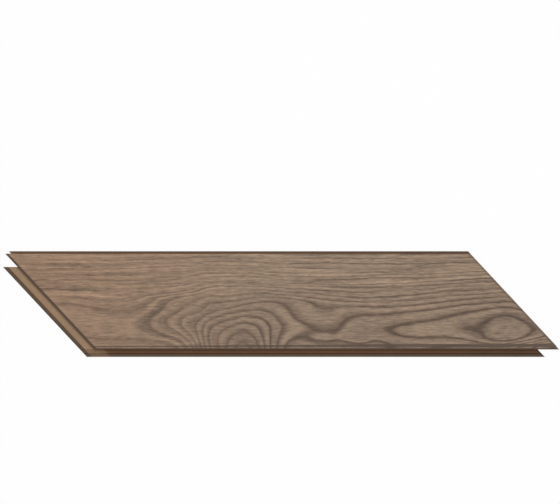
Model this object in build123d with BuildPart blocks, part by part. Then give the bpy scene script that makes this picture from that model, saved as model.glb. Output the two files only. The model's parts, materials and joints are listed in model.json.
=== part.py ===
from build123d import *
from math import cos, radians, sin
import os

# Chevron laminate plank in millimetres, decor face up.
# +X runs along the long edges towards the sharp front corner, +Y towards the tongue edge.
# The origin lies on the underside, below the middle of the plank's outer box.

# The board
edge_length = 505.0
face_width = 104.0
end_angle = 47.0
plank_thickness = 12.0
decor_thickness = 0.3
backing_thickness = 0.3

# The pressed bevel round the decor face
bevel_depth = 0.6
long_bevel_width = 3.0
end_bevel_width = 1.8

# Heights that both joints share, the play between mating faces and the gap past a lip tip
joint_play = 0.2
recess_gap = 1.0
groove_floor = 4.2
groove_height = 3.6

# The angled joint of the long edges
tongue_reach = 2.8
tongue_tip_gap = 0.6
tongue_tip_radius = 1.1
long_lip_reach = 8.5
long_lip_tip_height = 3.4
long_channel_floor = 2.9
long_channel_width = 4.6
long_ridge_height = 1.7
long_ridge_flank = 0.7
long_ridge_crown = 1.6
groove_ramp = 0.6
long_lip_trim = 2.9

# The folding joint of the slanted ends
end_slot_depth = 4.3
nose_reach = 0.8
nose_height = 2.2
nose_flat = 0.8
hook_chamfer = 0.6
end_lip_reach = 12.6
end_lip_tip_height = 3.2
end_channel_floor = 3.4
end_channel_width = 8.6
end_ridge_height = 2.2
end_ridge_flank = 0.5
end_ridge_crown = 1.6
end_lip_trim = 4.9

# Small radius that the cutters leave on the ridges
ridge_radius = 0.4

# Heights and lengths that follow
groove_top = groove_floor + groove_height
long_ridge_top = long_channel_floor + long_ridge_height
end_ridge_top = end_channel_floor + end_ridge_height
long_recess = long_lip_reach + recess_gap
end_recess = end_lip_reach + recess_gap
nose_middle = groove_floor + groove_height / 2
decor_edge_height = plank_thickness - bevel_depth - decor_thickness
run = 2 * (edge_length + face_width)

# Plan of the joint lines, where the faces of two laid planks meet
slant = radians(end_angle)
end_lip_start = face_width - long_recess - end_lip_trim
left_overhang = (end_lip_reach + end_lip_start * cos(slant)) / sin(slant)
front_left_x = (left_overhang - edge_length) / 2
front_y = (long_lip_reach - face_width - tongue_reach) / 2


def plan_point(past_left, past_front, start_x=front_left_x):
    """Plan point at these distances outside a slanted end line and outside the front edge."""
    y = front_y - past_front
    x = start_x - (past_left + (y - front_y) * cos(slant)) / sin(slant)
    return (x, y)


def side_plane(corner, outward):
    """Plane across one side: local x points out of the plank, local y up."""
    out = Vector(outward[0], outward[1], 0)
    return Plane(origin=(corner[0], corner[1], 0), x_dir=out, z_dir=out.cross(Vector(0, 0, 1)))


def nearest(vertices, points):
    """The vertices that lie at these points."""
    return [vertices.sort_by_distance(Vector(u, z))[0] for u, z in points]


def mill(plane, profile, rounded, radius, mode):
    """Run one section along its side, well past both corners, as the cutters do."""
    with BuildSketch(plane) as section:
        with BuildLine():
            Polyline(*profile, close=True)
        make_face()
        fillet(nearest(section.vertices(), rounded), radius=radius)
    extrude(section.sketch, amount=run, both=True, mode=mode)


def face_edge(bevel_width):
    """The upper end of every section: joint line, pressed bevel and decor face."""
    return [(0, plank_thickness - bevel_depth), (-bevel_width, plank_thickness), (-run, plank_thickness)]


front_left = plan_point(0, 0)
back_right = plan_point(0, -face_width, front_left_x + edge_length)
front_side = side_plane(front_left, (0, -1))
back_side = side_plane(back_right, (0, 1))
left_side = side_plane(front_left, (-sin(slant), -cos(slant)))
right_side = side_plane(back_right, (sin(slant), cos(slant)))

# Front long edge: groove above a long lower lip with channel and locking ridge
long_crown_start = long_channel_width + long_ridge_flank
long_crown_end = long_crown_start + long_ridge_crown
front_profile = [
    (-run, 0),
    (long_lip_reach, 0),
    (long_lip_reach, long_lip_tip_height),
    (long_crown_end, long_ridge_top),
    (long_crown_start, long_ridge_top),
    (long_channel_width, long_channel_floor),
    (groove_ramp, long_channel_floor),
    (-groove_ramp, groove_floor),
    (-tongue_reach - tongue_tip_gap, groove_floor),
    (-tongue_reach - tongue_tip_gap, groove_top),
    (0, groove_top),
] + face_edge(long_bevel_width)
front_crown = [(long_crown_end, long_ridge_top), (long_crown_start, long_ridge_top)]

# Back long edge: tongue, and under it the recess that takes the next plank's lip
tongue_bottom = groove_floor + joint_play
tongue_top = groove_top - joint_play
back_profile = [
    (-run, 0),
    (-long_recess, 0),
    (-long_recess, long_lip_tip_height + joint_play),
    (-long_crown_end - joint_play, long_ridge_top + joint_play),
    (-long_crown_start + joint_play, long_ridge_top + joint_play),
    (-long_channel_width + joint_play, long_channel_floor + joint_play),
    (-groove_ramp - joint_play, long_channel_floor + joint_play),
    (groove_ramp - joint_play, tongue_bottom),
    (tongue_reach, tongue_bottom),
    (tongue_reach, tongue_top),
    (0, tongue_top),
] + face_edge(long_bevel_width)
tongue_tip = [(tongue_reach, tongue_bottom), (tongue_reach, tongue_top)]

# Left end: slot above a wide lower lip that the next plank folds down onto
end_crown_start = end_channel_width + end_ridge_flank
end_crown_end = end_crown_start + end_ridge_crown
left_profile = [
    (-run, 0),
    (end_lip_reach, 0),
    (end_lip_reach, end_lip_tip_height),
    (end_crown_end, end_ridge_top),
    (end_crown_start, end_ridge_top),
    (end_channel_width, end_channel_floor),
    (0, end_channel_floor),
    (0, groove_floor),
    (-end_slot_depth, groove_floor),
    (-end_slot_depth, groove_top),
    (0, groove_top),
] + face_edge(end_bevel_width)
left_crown = [(end_crown_end, end_ridge_top), (end_crown_start, end_ridge_top)]

# Right end: snap nose, hook that fills the channel, and a groove for the ridge
right_profile = [
    (-run, 0),
    (-end_recess, 0),
    (-end_recess, end_lip_tip_height + joint_play),
    (-end_crown_end - joint_play, end_ridge_top + joint_play),
    (-end_crown_start + joint_play, end_ridge_top + joint_play),
    (-end_channel_width + joint_play, end_channel_floor + joint_play),
    (-hook_chamfer, end_channel_floor + joint_play),
    (0, end_channel_floor + joint_play + hook_chamfer),
    (0, nose_middle - nose_height / 2),
    (nose_reach, nose_middle - nose_flat / 2),
    (nose_reach, nose_middle + nose_flat / 2),
    (0, nose_middle + nose_height / 2),
] + face_edge(end_bevel_width)
hook_heel = [(-end_channel_width + joint_play, end_channel_floor + joint_play)]

# The lips stop short of the corners where the neighbours' tongues pass
end_lip_end = long_recess + end_lip_trim
long_lip_end = end_recess + long_lip_trim
beyond = end_recess + long_recess
end_lip_corner = [
    plan_point(0, end_lip_end - face_width),
    plan_point(beyond, end_lip_end - face_width),
    plan_point(beyond, -face_width - beyond),
    plan_point(0, -face_width - beyond),
]
long_lip_corner = [
    plan_point(long_lip_end, 0, front_left_x + edge_length),
    plan_point(long_lip_end, beyond, front_left_x + edge_length),
    plan_point(-beyond, beyond, front_left_x + edge_length),
    plan_point(-beyond, 0, front_left_x + edge_length),
]


def trim_corner(outline):
    """Saw a lip off square to the face inside this plan outline."""
    with BuildSketch() as corner:
        with BuildLine():
            Polyline(*outline, close=True)
        make_face()
    extrude(corner.sketch, amount=groove_floor + groove_height / 2, mode=Mode.SUBTRACT)


# Outer form of the whole plank, which its three bonded layers share
with BuildPart() as plank_form:
    mill(front_side, front_profile, front_crown, ridge_radius, Mode.ADD)
    mill(back_side, back_profile, tongue_tip, tongue_tip_radius, Mode.INTERSECT)
    mill(left_side, left_profile, left_crown, ridge_radius, Mode.INTERSECT)
    mill(right_side, right_profile, hook_heel, ridge_radius, Mode.INTERSECT)
    trim_corner(end_lip_corner)
    trim_corner(long_lip_corner)

# Wear layer and printed paper, pressed down over the bevels
with BuildPart() as decor_layer:
    add(plank_form.part)
    split(bisect_by=Plane.XY.offset(decor_edge_height), keep=Keep.TOP)
    with Locations((0, 0, -decor_thickness)):
        add(plank_form.part, mode=Mode.SUBTRACT)

# Balance paper on the underside, out to the tips of both lips
with BuildPart() as backing_sheet:
    add(plank_form.part)
    split(bisect_by=Plane.XY.offset(backing_thickness), keep=Keep.BOTTOM)

# Fibreboard core between them, which carries the milled joints
with BuildPart() as hdf_core:
    add(plank_form.part)
    add(decor_layer.part, mode=Mode.SUBTRACT)
    add(backing_sheet.part, mode=Mode.SUBTRACT)

os.makedirs("parts", exist_ok=True)
decor_layer.part.label = "decor_layer"
export_step(decor_layer.part, "parts/decor_layer.step")
hdf_core.part.label = "hdf_core"
export_step(hdf_core.part, "parts/hdf_core.step")
backing_sheet.part.label = "backing_sheet"
export_step(backing_sheet.part, "parts/backing_sheet.step")
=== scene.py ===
import json
from functools import partial

import bmesh
import bpy
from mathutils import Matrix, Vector

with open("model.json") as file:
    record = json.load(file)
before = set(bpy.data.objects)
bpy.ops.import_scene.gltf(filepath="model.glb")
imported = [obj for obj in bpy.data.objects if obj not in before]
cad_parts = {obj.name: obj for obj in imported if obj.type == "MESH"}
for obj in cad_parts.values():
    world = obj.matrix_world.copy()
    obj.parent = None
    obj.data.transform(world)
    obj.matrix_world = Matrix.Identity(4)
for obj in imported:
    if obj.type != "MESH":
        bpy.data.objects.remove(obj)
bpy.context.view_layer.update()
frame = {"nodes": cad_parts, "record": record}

bl_info = {
    "name": "Chevron plank finish",
    "version": (1, 0, 0),
    "blender": (4, 5, 0),
    "location": "View3D > Sidebar > Plank",
    "description": "Printed face, milled board and backing paper for a slanted laminate plank",
    "category": "Material",
}

MM = 0.001

# Plan of the plank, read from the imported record
MOUNTS = {mount["name"]: mount for mount in frame["record"]["mounts"]}
FACE_HEIGHT = MOUNTS["decor_face"]["pos_m"][2]

# Camera straight above the face, in metres, with its sensor in millimetres and the photograph in pixels
PHOTO_WIDTH = 560
SENSOR_WIDTH = 36.0
CAMERA_DISTANCE = 2.0
PIXELS_PER_METRE = 920.4
AIM_X = -0.0006
AIM_Y = 0.0568

# Studio, in metres and watts
FLOOR_RADIUS = 12.0
FLOOR_SIDES = 96
FLOOR_WHITE_SEEN = 0.94
SKY_STRENGTH = 0.5
LAMP_PLACE = (0.4, 0.8, 4.2)
LAMP_WIDTH = 1.6
LAMP_POWER = 90.0

# Growth rings of the printed wood, counted at a point by a slope and smooth swellings, in millimetres.
# The slope and 17 of the swellings come from a fit to lines measured in the photograph. Its values
# are rounded, and some are moved by up to 2.3 mm or 0.3 of a ring. The two of 0.4 and 0.3 were set one by
# one.
RINGS_AT_MIDDLE = -9.4
RINGS_PER_X = 0.004
RINGS_PER_Y = -0.1
RING_SWELLINGS = (
    # x, y, rings, reach to the left, right, back and front
    # Nest of arches left of the middle: heart, shoulder, fringe, far side and crown
    (-37, -56, 9, 28, 36, 54, 54),
    (-75, -30, 7, 22, 28, 40, 45),
    (-107, -18, 5.5, 47, 21, 19, 25),
    (-53, 20, 5, 120, 160, 40, 13),
    (4, 0, 8, 68, 70, 16, 38),
    # Slopes and floor of the vee
    (30, -28, 2.5, 42, 34, 14, 28),
    (46, -36, 0.4, 16, 14, 6, 7),
    (65, 0, 2.1, 60, 95, 65, 15),
    (80, -21, 3.3, 32, 42, 26, 22),
    (82, -38, 1.2, 56, 16, 9, 9),
    (65, -72, 6.5, 54, 160, 22, 22),
    # Long arch, then the eye with its fish tail, and the sharp corner past it
    (140, -25, 7, 60, 68, 54, 26),
    (210, 0, 5, 60, 160, 45, 40),
    (255, -35, 6, 55, 160, 70, 13),
    (200, -26, 0.3, 14, 14, 6, 6),
    (294, -43, -2.5, 30, 30, 9, 9),
    # Straighter grain towards the left end
    (-110, 5, 3.3, 45, 40, 9, 12),
    (-195, -28, 3.7, 120, 60, 34, 22),
    (-275, 5, 6.2, 160, 160, 70, 26),
)

# Pattern of the print, in millimetres, and how much each part of it shows
LINE_WAVES = (
    # length along the grain, width across it, share of the sway
    (40, 9, 1),
    (14, 3.2, 0.9),
    (5, 1.6, 0.5),
)
YEAR_LENGTH = 180
BREAK_LENGTH = 80
STREAK_LENGTH = 90
STREAKS_PER_RING = 2.4
CLOUD_SIZE = (110, 28, 0)
HALO_STRENGTH = 0.6
CLOUD_CONTRAST = 0.4
FIBRE_CONTRAST = 1.8
# Start of the painted shade along the front bevel's crest, in millimetres in from the joint line
BEVEL_CREST = 2.8

# Pattern of the fibreboard, in millimetres, with flecks drawn coarser than real ones so that they show,
# and the painted shade on the flank inside its front ridge
BOARD_FLECK_SIZE = (0.9, 0.9, 0.5)
BOARD_CLOUD_SIZE = (14, 14, 14)
BOARD_FLECK_CONTRAST = 0.5
BOARD_CLOUD_CONTRAST = 0.25
FLANK_PLACE = 4.9
FLANK_REACH = 0.5
FLANK_SHADE = 0.4

# Pattern of the backing paper, in millimetres
PAPER_CLOUD_SIZE = (22, 22, 22)
PAPER_TONE = 0.92
PAPER_CONTRAST = 0.16

NOISE_MIDDLE = 0.5


def paint(code):
    """An sRGB hex code such as #8C7867 as a linear colour with alpha."""
    channels = [int(code[i:i + 2], 16) / 255 for i in (1, 3, 5)]
    return [c / 12.92 if c <= 0.04045 else ((c + 0.055) / 1.055) ** 2.4 for c in channels] + [1.0]


class PlankLooks(bpy.types.PropertyGroup):
    """Sizes and colours of the printed face, the board and the paper"""

    fibre_width: bpy.props.FloatProperty(
        name="Fibre width", description="Width across the grain of the printed fibres and pores",
        unit="LENGTH", min=0.2 * MM, default=1.8 * MM)
    fibre_length: bpy.props.FloatProperty(
        name="Fibre length", description="Length along the grain of the printed fibres and pores",
        unit="LENGTH", min=2 * MM, default=12 * MM)
    line_sway: bpy.props.FloatProperty(
        name="Line sway", description="How far the growth lines wander off a smooth course",
        unit="LENGTH", min=0, default=1.6 * MM)
    pore_depth: bpy.props.FloatProperty(
        name="Pore depth", description="Depth of the relief pressed into the face",
        unit="LENGTH", min=0, default=0.15 * MM)

    face_warm: bpy.props.FloatVectorProperty(
        name="Warm wood", description="Body colour of the print at the left end",
        subtype="COLOR", size=4, min=0, max=1, default=paint("#8F725A"))
    face_cool: bpy.props.FloatVectorProperty(
        name="Cool wood", description="Body colour of the print from the middle to the right end",
        subtype="COLOR", size=4, min=0, max=1, default=paint("#8F7863"))
    latewood: bpy.props.FloatVectorProperty(
        name="Latewood", description="Dark growth lines of the print",
        subtype="COLOR", size=4, min=0, max=1, default=paint("#442D19"))
    # Dark painted shade on the front and left-end bevels, which face away from the lamp
    bevel: bpy.props.FloatVectorProperty(
        name="Bevel", description="Dark painted shade on the front and left-end bevels",
        subtype="COLOR", size=4, min=0, max=1, default=paint("#4A382B"))
    # Grey painted shade on the right-end bevel
    right_bevel_shade: bpy.props.FloatVectorProperty(
        name="Right bevel shade", description="Grey painted shade on the bevel at the right end",
        subtype="COLOR", size=4, min=0, max=1, default=paint("#575047"))
    board: bpy.props.FloatVectorProperty(
        name="Fibreboard", description="Dry milled fibreboard of the slanted ends",
        subtype="COLOR", size=4, min=0, max=1, default=paint("#A08468"))
    waxed: bpy.props.FloatVectorProperty(
        name="Waxed fibreboard", description="Waxed fibreboard along the long edges",
        subtype="COLOR", size=4, min=0, max=1, default=paint("#69492F"))
    # Dark painted shade on the locking ridges and the tongue tip
    ridge_shade: bpy.props.FloatVectorProperty(
        name="Ridge shade", description="Dark painted shade on the locking ridges and the tongue tip",
        subtype="COLOR", size=4, min=0, max=1, default=paint("#5A4839"))
    paper: bpy.props.FloatVectorProperty(
        name="Backing paper", description="Balance paper on the underside",
        subtype="COLOR", size=4, min=0, max=1, default=paint("#B39F7A"))


def add_node(tree, kind, inputs=None, **settings):
    """Add a node with its settings. An input takes a value, a socket, or a node for its first output."""
    node = tree.nodes.new(kind)
    for name, value in settings.items():
        setattr(node, name, value)
    for key, value in (inputs or {}).items():
        if isinstance(value, bpy.types.Node):
            value = next(socket for socket in value.outputs if socket.enabled)
        if isinstance(value, bpy.types.NodeSocket):
            tree.links.new(value, node.inputs[key])
        else:
            node.inputs[key].default_value = value
    return node


def new_finish(name):
    """An empty material, a short way to add its nodes, its shader, and its place on the object in mm."""
    material = bpy.data.materials.new(name)
    material.use_nodes = True
    tree = material.node_tree
    tree.nodes.clear()
    add = partial(add_node, tree)
    shader = add("ShaderNodeBsdfPrincipled")
    add("ShaderNodeOutputMaterial", {"Surface": shader})
    where = add("ShaderNodeTexCoord").outputs["Object"]
    place = add("ShaderNodeVectorMath", {0: where, "Scale": 1 / MM}, operation="SCALE")
    return material, add, shader, place


def finish(shader, colour, bump, roughness, ior):
    """Link a surface's colour and relief to its shader, and set its gloss."""
    links = shader.id_data.links
    links.new(colour.outputs["Result"], shader.inputs["Base Color"])
    links.new(bump.outputs["Normal"], shader.inputs["Normal"])
    shader.inputs["Roughness"].default_value = roughness
    shader.inputs["IOR"].default_value = ior


def cover(node_name, material):
    """Give a CAD node this material in every slot of its object."""
    for slot in frame["nodes"][node_name].material_slots:
        slot.material = material


def mottle(add, place, size, detail, roughness=0.5):
    """Noise in cells of this size in millimetres. Along an axis of size 0 the noise stays the same."""
    per_mm = [1 / side if side else 0 for side in size]
    cells = add("ShaderNodeVectorMath", {0: place, 1: per_mm}, operation="MULTIPLY")
    return add("ShaderNodeTexNoise", {
        "Vector": cells, "Scale": 1, "Detail": detail, "Roughness": roughness})


def drawn_out(add, x, across, length, layer, detail, scale=1):
    """Noise drawn out over this length along the plank. It follows a count across, and differs by layer."""
    along = add("ShaderNodeMath", {0: x, 1: length}, operation="DIVIDE")
    cells = add("ShaderNodeCombineXYZ", {"X": along, "Y": across, "Z": layer})
    return add("ShaderNodeTexNoise", {"Vector": cells, "Scale": scale, "Detail": detail})


def tint(add, colour, tone):
    """A colour made darker or lighter by a tone, where 1 leaves it as it is."""
    shade = add("ShaderNodeCombineXYZ", {"X": tone, "Y": tone, "Z": tone})
    return add(
        "ShaderNodeMix", {"Factor": 1, "A": colour, "B": shade}, data_type="RGBA", blend_type="MULTIPLY")


def past_edge(add, place, joint):
    """How far a point lies outside the joint line of one edge, in millimetres, negative on the face."""
    mount = MOUNTS[joint]
    corner = [value / MM for value in mount["pos_m"]]
    off = add("ShaderNodeVectorMath", {0: place, 1: corner}, operation="SUBTRACT")
    past = add("ShaderNodeVectorMath", {0: off, 1: mount["axis"]}, operation="DOT_PRODUCT")
    return past.outputs["Value"]


def sway_place(add, place, sway):
    """The place shifted across the grain in long, middling and short waves, so that lines look grown."""
    drawn = place
    for length, width, share in LINE_WAVES:
        waves = mottle(add, place, (length, width, 0), detail=0)
        most = share * sway
        shift = add("ShaderNodeMath", {0: waves, 1: most, 2: -most / 2}, operation="MULTIPLY_ADD")
        shift = add("ShaderNodeCombineXYZ", {"Y": shift})
        drawn = add("ShaderNodeVectorMath", {0: drawn, 1: shift}, operation="ADD")
    return drawn


def count_rings(add, place, x):
    """Growth rings at a place on the face, a whole number on each dark line, most at a figure's heart."""
    slope = (RINGS_PER_X, RINGS_PER_Y, 0)
    along = add("ShaderNodeVectorMath", {0: place, 1: slope}, operation="DOT_PRODUCT")
    count = add("ShaderNodeMath", {0: along.outputs["Value"], 1: RINGS_AT_MIDDLE}, operation="ADD")
    for swell_x, swell_y, rings, left, right, back, front in RING_SWELLINGS:
        off = add("ShaderNodeVectorMath", {0: place, 1: (swell_x, swell_y, 0)}, operation="SUBTRACT")
        low = add("ShaderNodeVectorMath", {0: off, 1: (0, 0, 0)}, operation="MINIMUM")
        high = add("ShaderNodeVectorMath", {0: off, 1: (0, 0, 0)}, operation="MAXIMUM")
        per_low = (1 / left, 1 / front, 0)
        per_high = (1 / right, 1 / back, 0)
        low = add("ShaderNodeVectorMath", {0: low, 1: per_low}, operation="MULTIPLY")
        both = add("ShaderNodeVectorMath", {0: high, 1: per_high, 2: low}, operation="MULTIPLY_ADD")
        reach = add("ShaderNodeVectorMath", {0: both, 1: both}, operation="DOT_PRODUCT")
        fall = add("ShaderNodeMath", {0: reach.outputs["Value"], 1: -1}, operation="MULTIPLY")
        swell = add("ShaderNodeMath", {0: fall}, operation="EXPONENT")
        count = add("ShaderNodeMath", {0: swell, 1: rings, 2: count}, operation="MULTIPLY_ADD")

    # The heart of the eye at the right end has no lines
    most = add("ShaderNodeMapRange", {
        "Value": x, "From Min": 150, "From Max": 200, "To Min": 12, "To Max": 3.4})
    return add("ShaderNodeMath", {0: count, 1: most}, operation="MINIMUM")


def space_years(add, x, rings):
    """The ring count with good and poor years, so that lines of the straight grain are unevenly spaced."""
    years = drawn_out(add, x, rings, YEAR_LENGTH, layer=11, detail=1, scale=0.8)
    uneven = add("ShaderNodeMapRange", {
        "Value": rings, "From Min": -5, "From Max": -2, "To Min": 1.6, "To Max": 0})
    years = add("ShaderNodeMath", {0: years, 1: NOISE_MIDDLE}, operation="SUBTRACT")
    return add("ShaderNodeMath", {0: years, 1: uneven, 2: rings}, operation="MULTIPLY_ADD")


def latewood_lines(add, x, rings, years):
    """How dark the latewood is, from 0 between the lines to about 0.9 on a bold one."""
    # Each line has a soft halo, wider on its outer side, and a narrow dark core
    part = add("ShaderNodeMath", {0: years}, operation="FRACT")
    rise = add("ShaderNodeMapRange", {
        "Value": part, "From Min": 0.45, "From Max": 0.97}, interpolation_type="SMOOTHSTEP")
    drop = add("ShaderNodeMapRange", {
        "Value": part, "From Min": 0.28, "From Max": 0.03}, interpolation_type="SMOOTHSTEP")
    halo = add("ShaderNodeMath", {0: rise, 1: drop}, operation="MAXIMUM")
    half_ring = 0.5
    off_line = add("ShaderNodeMath", {0: years, 1: half_ring}, operation="PINGPONG")
    core = add("ShaderNodeMapRange", {
        "Value": off_line, "From Min": 0.17, "From Max": 0.03, "To Max": 0.38,
    }, interpolation_type="SMOOTHSTEP")
    line = add("ShaderNodeMath", {0: halo, 1: HALO_STRENGTH, 2: core}, operation="MULTIPLY_ADD")

    # Lines are bold and whole round the figures, softer in the nest and broken in the straight grain
    broken = drawn_out(add, x, rings, BREAK_LENGTH, layer=3, detail=2)
    strength = add("ShaderNodeMapRange", {
        "Value": broken, "From Min": 0.35, "From Max": 0.6, "To Min": 0.3, "To Max": 1})
    whole = add("ShaderNodeMapRange", {"Value": rings, "From Min": -2, "From Max": 0.6, "To Max": 0.85})
    strength = add("ShaderNodeMath", {0: strength, 1: whole}, operation="MAXIMUM")
    faint = add("ShaderNodeMapRange", {
        "Value": x, "From Min": 0, "From Max": 120, "To Min": 0.55, "To Max": 0.85})
    figure = add("ShaderNodeMapRange", {
        "Value": x, "From Min": 90, "From Max": 150, "To Min": 0.86, "To Max": 0.92})
    bold = add("ShaderNodeMapRange", {
        "Value": rings, "From Min": -4, "From Max": 0.6, "To Min": faint, "To Max": figure})
    nest = add("ShaderNodeMapRange", {
        "Value": x, "From Min": -30, "From Max": 20, "To Min": 0.75, "To Max": 1})
    for weight in (strength, bold, nest):
        line = add("ShaderNodeMath", {0: line, 1: weight}, operation="MULTIPLY")
    return line


def wood_tone(add, place, x, rings, years, fibres):
    """How light the wood is: streaks along the rings, soft clouds, fibres, and darker figures."""
    across = add("ShaderNodeMath", {0: years, 1: STREAKS_PER_RING}, operation="MULTIPLY")
    streaks = drawn_out(add, x, across, STREAK_LENGTH, layer=7, detail=1)
    clouds = mottle(add, place, CLOUD_SIZE, detail=2)
    depth = add("ShaderNodeMapRange", {
        "Value": rings, "From Min": -7, "From Max": 5, "To Min": -0.02, "To Max": -0.22})
    calm = add("ShaderNodeMapRange", {
        "Value": rings, "From Min": -3, "From Max": 1, "To Min": 1.4, "To Max": 0.6})
    tone = add("ShaderNodeMath", {0: clouds, 1: CLOUD_CONTRAST, 2: depth}, operation="MULTIPLY_ADD")
    streaks = add("ShaderNodeMath", {0: streaks, 1: NOISE_MIDDLE}, operation="SUBTRACT")
    tone = add("ShaderNodeMath", {0: streaks, 1: calm, 2: tone}, operation="MULTIPLY_ADD")
    return add("ShaderNodeMath", {0: fibres, 1: FIBRE_CONTRAST, 2: tone}, operation="MULTIPLY_ADD")


def shade_bevels(add, place, x, wood, looks):
    """The wood's colour with painted shade on its pressed bevels: dark along the front and left end, grey
    at the right.
    """
    front = past_edge(add, place, "front_groove")
    left = past_edge(add, place, "left_end_lip")
    right = past_edge(add, place, "right_end_hook")

    # Painted shadow at the front bevel's foot, painted shade along its crest in a band widening to the
    # right
    width = add("ShaderNodeMapRange", {
        "Value": x, "From Min": -150, "From Max": 150, "To Min": 1.2, "To Max": 3.3})
    half_band = 0.5
    crest_shade = add("ShaderNodeMath", {0: front, 1: BEVEL_CREST}, operation="ADD")
    crest_shade = add("ShaderNodeMath", {0: crest_shade, 1: width}, operation="DIVIDE")
    crest_shade = add("ShaderNodeMath", {0: crest_shade, 1: half_band}, operation="ADD")
    crest_shade = add("ShaderNodeMath", {0: crest_shade}, operation="ABSOLUTE")
    crest_shade = add("ShaderNodeMapRange", {"Value": crest_shade, "From Min": 0.6, "From Max": 0.4, "To Max": 0.85})
    foot_shadow = add("ShaderNodeMapRange", {"Value": front, "From Min": -1.9, "From Max": -1.0, "To Max": 0.95})
    # Slight painted shade on the front bevel's slope, and dark painted shade on the left-end bevel
    slope = add("ShaderNodeMapRange", {"Value": front, "From Min": -3.4, "From Max": -2.4, "To Max": 0.12})
    end = add("ShaderNodeMapRange", {"Value": left, "From Min": -3.0, "From Max": -1.8, "To Max": 0.95})
    for amount in (slope, crest_shade, foot_shadow, end):
        wood = add("ShaderNodeMix", {"Factor": amount, "A": wood, "B": looks.bevel}, data_type="RGBA")

    # Grey painted shade on the right-end bevel, strongest near the sharp corner
    corner = add("ShaderNodeMapRange", {
        "Value": front, "From Min": -25, "From Max": -5, "To Min": 0.5, "To Max": 0.9})
    right_shade = add("ShaderNodeMapRange", {"Value": right, "From Min": -2.6, "From Max": -1.4, "To Max": corner})
    return add("ShaderNodeMix", {"Factor": right_shade, "A": wood, "B": looks.right_bevel_shade}, data_type="RGBA")


def printed_oak(looks):
    """Oak print under a clear melamine wear layer: satin, with dark latewood lines and pressed pores."""
    material, add, shader, place = new_finish("printed_oak_laminate")
    x = add("ShaderNodeSeparateXYZ", {0: place}).outputs["X"]
    drawn = sway_place(add, place, looks.line_sway / MM)
    rings = count_rings(add, drawn, x)
    years = space_years(add, x, rings)
    line = latewood_lines(add, x, rings, years)

    # Fibres and pores run straight along the plank, drawn wider than real ones so that they show
    fibre_size = (looks.fibre_length / MM, looks.fibre_width / MM, 0)
    fibres = mottle(add, place, fibre_size, detail=3, roughness=0.7)

    # The wood cools from the left end to the middle
    side = add("ShaderNodeMapRange", {"Value": x, "From Min": -260, "From Max": -20})
    warm, cool = looks.face_warm, looks.face_cool
    body = add("ShaderNodeMix", {"Factor": side, "A": warm, "B": cool}, data_type="RGBA")
    wood = add("ShaderNodeMix", {"Factor": line, "A": body, "B": looks.latewood}, data_type="RGBA")
    wood = tint(add, wood, wood_tone(add, place, x, rings, years, fibres))
    # Painted shade on the bevels: dark at the front and left end, grey at the right end
    wood = shade_bevels(add, place, x, wood, looks)

    relief = add("ShaderNodeMath", {0: line, 1: -1, 2: fibres}, operation="MULTIPLY_ADD")
    bump = add("ShaderNodeBump", {"Strength": 0.35, "Distance": looks.pore_depth, "Height": relief})
    finish(shader, wood, bump, roughness=0.65, ior=1.5)
    return material


def wax_and_shade(add, place, looks):
    """The board's colour: tan at the ends, waxed along the long edges, painted shade on ridges and tongue.
    """
    front = past_edge(add, place, "front_groove")
    back = past_edge(add, place, "back_tongue")
    left = past_edge(add, place, "left_end_lip")
    front_wax = add("ShaderNodeMapRange", {"Value": front, "From Min": -0.2, "From Max": 0.4})
    back_wax = add("ShaderNodeMapRange", {"Value": back, "From Min": -0.4, "From Max": 0.2})
    wax = add("ShaderNodeMath", {0: front_wax, 1: back_wax}, operation="MAXIMUM")
    # Black painted shade on the inner flank of the front ridge
    painted_flank_shade = add("ShaderNodeMath", {0: front, 1: FLANK_PLACE, 2: FLANK_REACH}, operation="COMPARE")
    painted_flank_shade = add("ShaderNodeMath", {0: painted_flank_shade, 1: FLANK_SHADE}, operation="MULTIPLY")
    front_ridge_shade = add("ShaderNodeMapRange", {"Value": front, "From Min": 5.1, "From Max": 5.6})

    # The wax and the painted shade fade to half towards the left end, where the end's cutter came through
    fade = add("ShaderNodeMapRange", {"Value": left, "From Min": -4.5, "From Max": -8, "To Min": 0.5})
    wax = add("ShaderNodeMath", {0: wax, 1: fade}, operation="MULTIPLY")
    painted_flank_shade = add("ShaderNodeMath", {0: painted_flank_shade, 1: fade}, operation="MULTIPLY")
    front_ridge_shade = add("ShaderNodeMath", {0: front_ridge_shade, 1: fade}, operation="MULTIPLY")

    left_ridge_shade = add("ShaderNodeMapRange", {"Value": left, "From Min": 8.1, "From Max": 9.3})
    tongue_tip_shade = add("ShaderNodeMapRange", {"Value": back, "From Min": 0.0, "From Max": 0.6, "To Max": 0.6})
    ridge_shade = add("ShaderNodeMath", {0: front_ridge_shade, 1: left_ridge_shade}, operation="MAXIMUM")
    ridge_shade = add("ShaderNodeMath", {0: ridge_shade, 1: tongue_tip_shade}, operation="MAXIMUM")
    colour = looks.board
    # Wax, painted shade on the ridges and tongue tip, and black painted shade on the front ridge's inner
    # flank
    for amount, over in ((wax, looks.waxed), (ridge_shade, looks.ridge_shade), (painted_flank_shade, paint("#000000"))):
        colour = add("ShaderNodeMix", {"Factor": amount, "A": colour, "B": over}, data_type="RGBA")
    return colour


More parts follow.
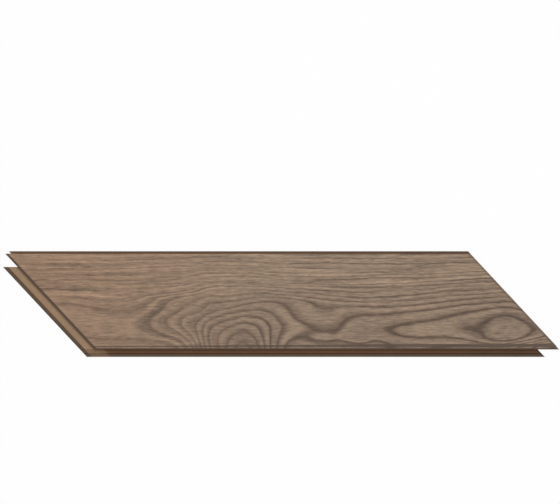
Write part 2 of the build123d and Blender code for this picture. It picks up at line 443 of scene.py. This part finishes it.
def milled_fibreboard(looks):
    """High-density fibreboard cut by milling: matt, fibre-speckled, darker where waxed, painted shade on
    ridges.
    """
    material, add, shader, place = new_finish("milled_fibreboard")
    colour = wax_and_shade(add, place, looks)
    flecks = mottle(add, place, BOARD_FLECK_SIZE, detail=3)
    clouds = mottle(add, place, BOARD_CLOUD_SIZE, detail=2)

    # The board darkens towards the right end
    x = add("ShaderNodeSeparateXYZ", {0: place}).outputs["X"]
    tone = add("ShaderNodeMapRange", {
        "Value": x, "From Min": 60, "From Max": 260, "To Min": 0.62, "To Max": 0.45})
    tone = add("ShaderNodeMath", {0: flecks, 1: BOARD_FLECK_CONTRAST, 2: tone}, operation="MULTIPLY_ADD")
    tone = add("ShaderNodeMath", {0: clouds, 1: BOARD_CLOUD_CONTRAST, 2: tone}, operation="MULTIPLY_ADD")
    bump = add("ShaderNodeBump", {"Strength": 0.4, "Distance": 0.2 * MM, "Height": flecks})
    finish(shader, tint(add, colour, tone), bump, roughness=0.85, ior=1.45)
    return material


def backing_paper(looks):
    """Resin-soaked kraft paper pressed on the back: flat, matt, faintly mottled."""
    material, add, shader, place = new_finish("backing_paper")
    clouds = mottle(add, place, PAPER_CLOUD_SIZE, detail=4)
    tone = add("ShaderNodeMath", {0: clouds, 1: PAPER_CONTRAST, 2: PAPER_TONE}, operation="MULTIPLY_ADD")
    bump = add("ShaderNodeBump", {"Strength": 0.2, "Distance": 0.1 * MM, "Height": clouds})
    finish(shader, tint(add, looks.paper, tone), bump, roughness=0.65, ior=1.45)
    return material


def white_floor():
    """Matt white paper floor: seen directly it is nearly all white, and it keeps a faint shadow."""
    material, add, shader, _ = new_finish("white_paper_floor")
    shader.inputs["Base Color"].default_value = paint("#F2F2F2")
    shader.inputs["Roughness"].default_value = 0.9
    path = add("ShaderNodeLightPath")
    seen = path.outputs["Is Camera Ray"]
    for ray in ("Is Glossy Ray", "Is Transmission Ray"):
        seen = add("ShaderNodeMath", {0: seen, 1: path.outputs[ray]}, operation="MAXIMUM")
    amount = add("ShaderNodeMath", {0: seen, 1: FLOOR_WHITE_SEEN}, operation="MULTIPLY")
    white = add("ShaderNodeEmission", {"Color": paint("#FFFFFF"), "Strength": 1})
    both = add("ShaderNodeMixShader", {"Fac": amount, 1: shader, 2: white})
    out = next(node for node in material.node_tree.nodes if node.type == "OUTPUT_MATERIAL")
    material.node_tree.links.new(both.outputs["Shader"], out.inputs["Surface"])
    return material


class PLANK_OT_print_face(bpy.types.Operator):
    """Give the decor layer its printed wood grain and wear layer"""

    bl_idname = "plank.print_face"
    bl_label = "Print the face"

    def execute(self, context):
        cover("decor_layer", printed_oak(context.scene.plank_looks))
        return {"FINISHED"}


class PLANK_OT_finish_board(bpy.types.Operator):
    """Give the core its milled fibreboard, waxed along the long edges"""

    bl_idname = "plank.finish_board"
    bl_label = "Finish the board"

    def execute(self, context):
        cover("hdf_core", milled_fibreboard(context.scene.plank_looks))
        return {"FINISHED"}


class PLANK_OT_paper_back(bpy.types.Operator):
    """Give the underside its balance paper"""

    bl_idname = "plank.paper_back"
    bl_label = "Paper the back"

    def execute(self, context):
        cover("backing_sheet", backing_paper(context.scene.plank_looks))
        return {"FINISHED"}


class PLANK_OT_build_studio(bpy.types.Operator):
    """Add the pale floor, the soft lamp, the world and the camera"""

    bl_idname = "plank.build_studio"
    bl_label = "Build the studio"

    def execute(self, context):
        scene = context.scene
        scene.view_settings.view_transform = "Standard"

        mesh = bpy.data.meshes.new("floor")
        form = bmesh.new()
        bmesh.ops.create_circle(form, cap_ends=True, segments=FLOOR_SIDES, radius=FLOOR_RADIUS)
        form.to_mesh(mesh)
        form.free()
        floor = bpy.data.objects.new("floor", mesh)
        scene.collection.objects.link(floor)
        mesh.materials.append(white_floor())

        world = bpy.data.worlds.new("studio")
        world.use_nodes = True
        scene.world = world
        sky = world.node_tree.nodes["Background"]
        sky.inputs["Color"].default_value = paint("#FFFFFF")
        sky.inputs["Strength"].default_value = SKY_STRENGTH

        data = bpy.data.lights.new("lamp", "AREA")
        data.shape = "DISK"
        data.size = LAMP_WIDTH
        data.energy = LAMP_POWER
        lamp = bpy.data.objects.new("lamp", data)
        lamp.location = LAMP_PLACE
        lamp.rotation_euler = (-Vector(LAMP_PLACE)).to_track_quat("-Z", "Y").to_euler()
        scene.collection.objects.link(lamp)

        lens = bpy.data.cameras.new("camera")
        lens.sensor_width = SENSOR_WIDTH
        lens.lens = SENSOR_WIDTH * PIXELS_PER_METRE * CAMERA_DISTANCE / PHOTO_WIDTH
        camera = bpy.data.objects.new("camera", lens)
        camera.location = (AIM_X, AIM_Y, CAMERA_DISTANCE + FACE_HEIGHT)
        scene.collection.objects.link(camera)
        scene.camera = camera
        return {"FINISHED"}


class PLANK_PT_sidebar(bpy.types.Panel):
    """Lists the plank's sizes, colours and finishing steps"""

    bl_idname = "PLANK_PT_sidebar"
    bl_label = "Chevron plank"
    bl_space_type = "VIEW_3D"
    bl_region_type = "UI"
    bl_category = "Plank"

    def draw(self, context):
        looks = context.scene.plank_looks
        for name in looks.__annotations__:
            self.layout.prop(looks, name)
        for step in STEPS:
            self.layout.operator(step.bl_idname)


STEPS = (PLANK_OT_build_studio, PLANK_OT_print_face, PLANK_OT_finish_board, PLANK_OT_paper_back)
CLASSES = (PlankLooks,) + STEPS + (PLANK_PT_sidebar,)


def register():
    for item in CLASSES:
        bpy.utils.register_class(item)
    bpy.types.Scene.plank_looks = bpy.props.PointerProperty(type=PlankLooks)


def unregister():
    del bpy.types.Scene.plank_looks
    for item in reversed(CLASSES):
        bpy.utils.unregister_class(item)


def main():
    register()
    bpy.ops.plank.build_studio()
    bpy.ops.plank.print_face()
    bpy.ops.plank.finish_board()
    bpy.ops.plank.paper_back()


if __name__ == "__main__":
    main()
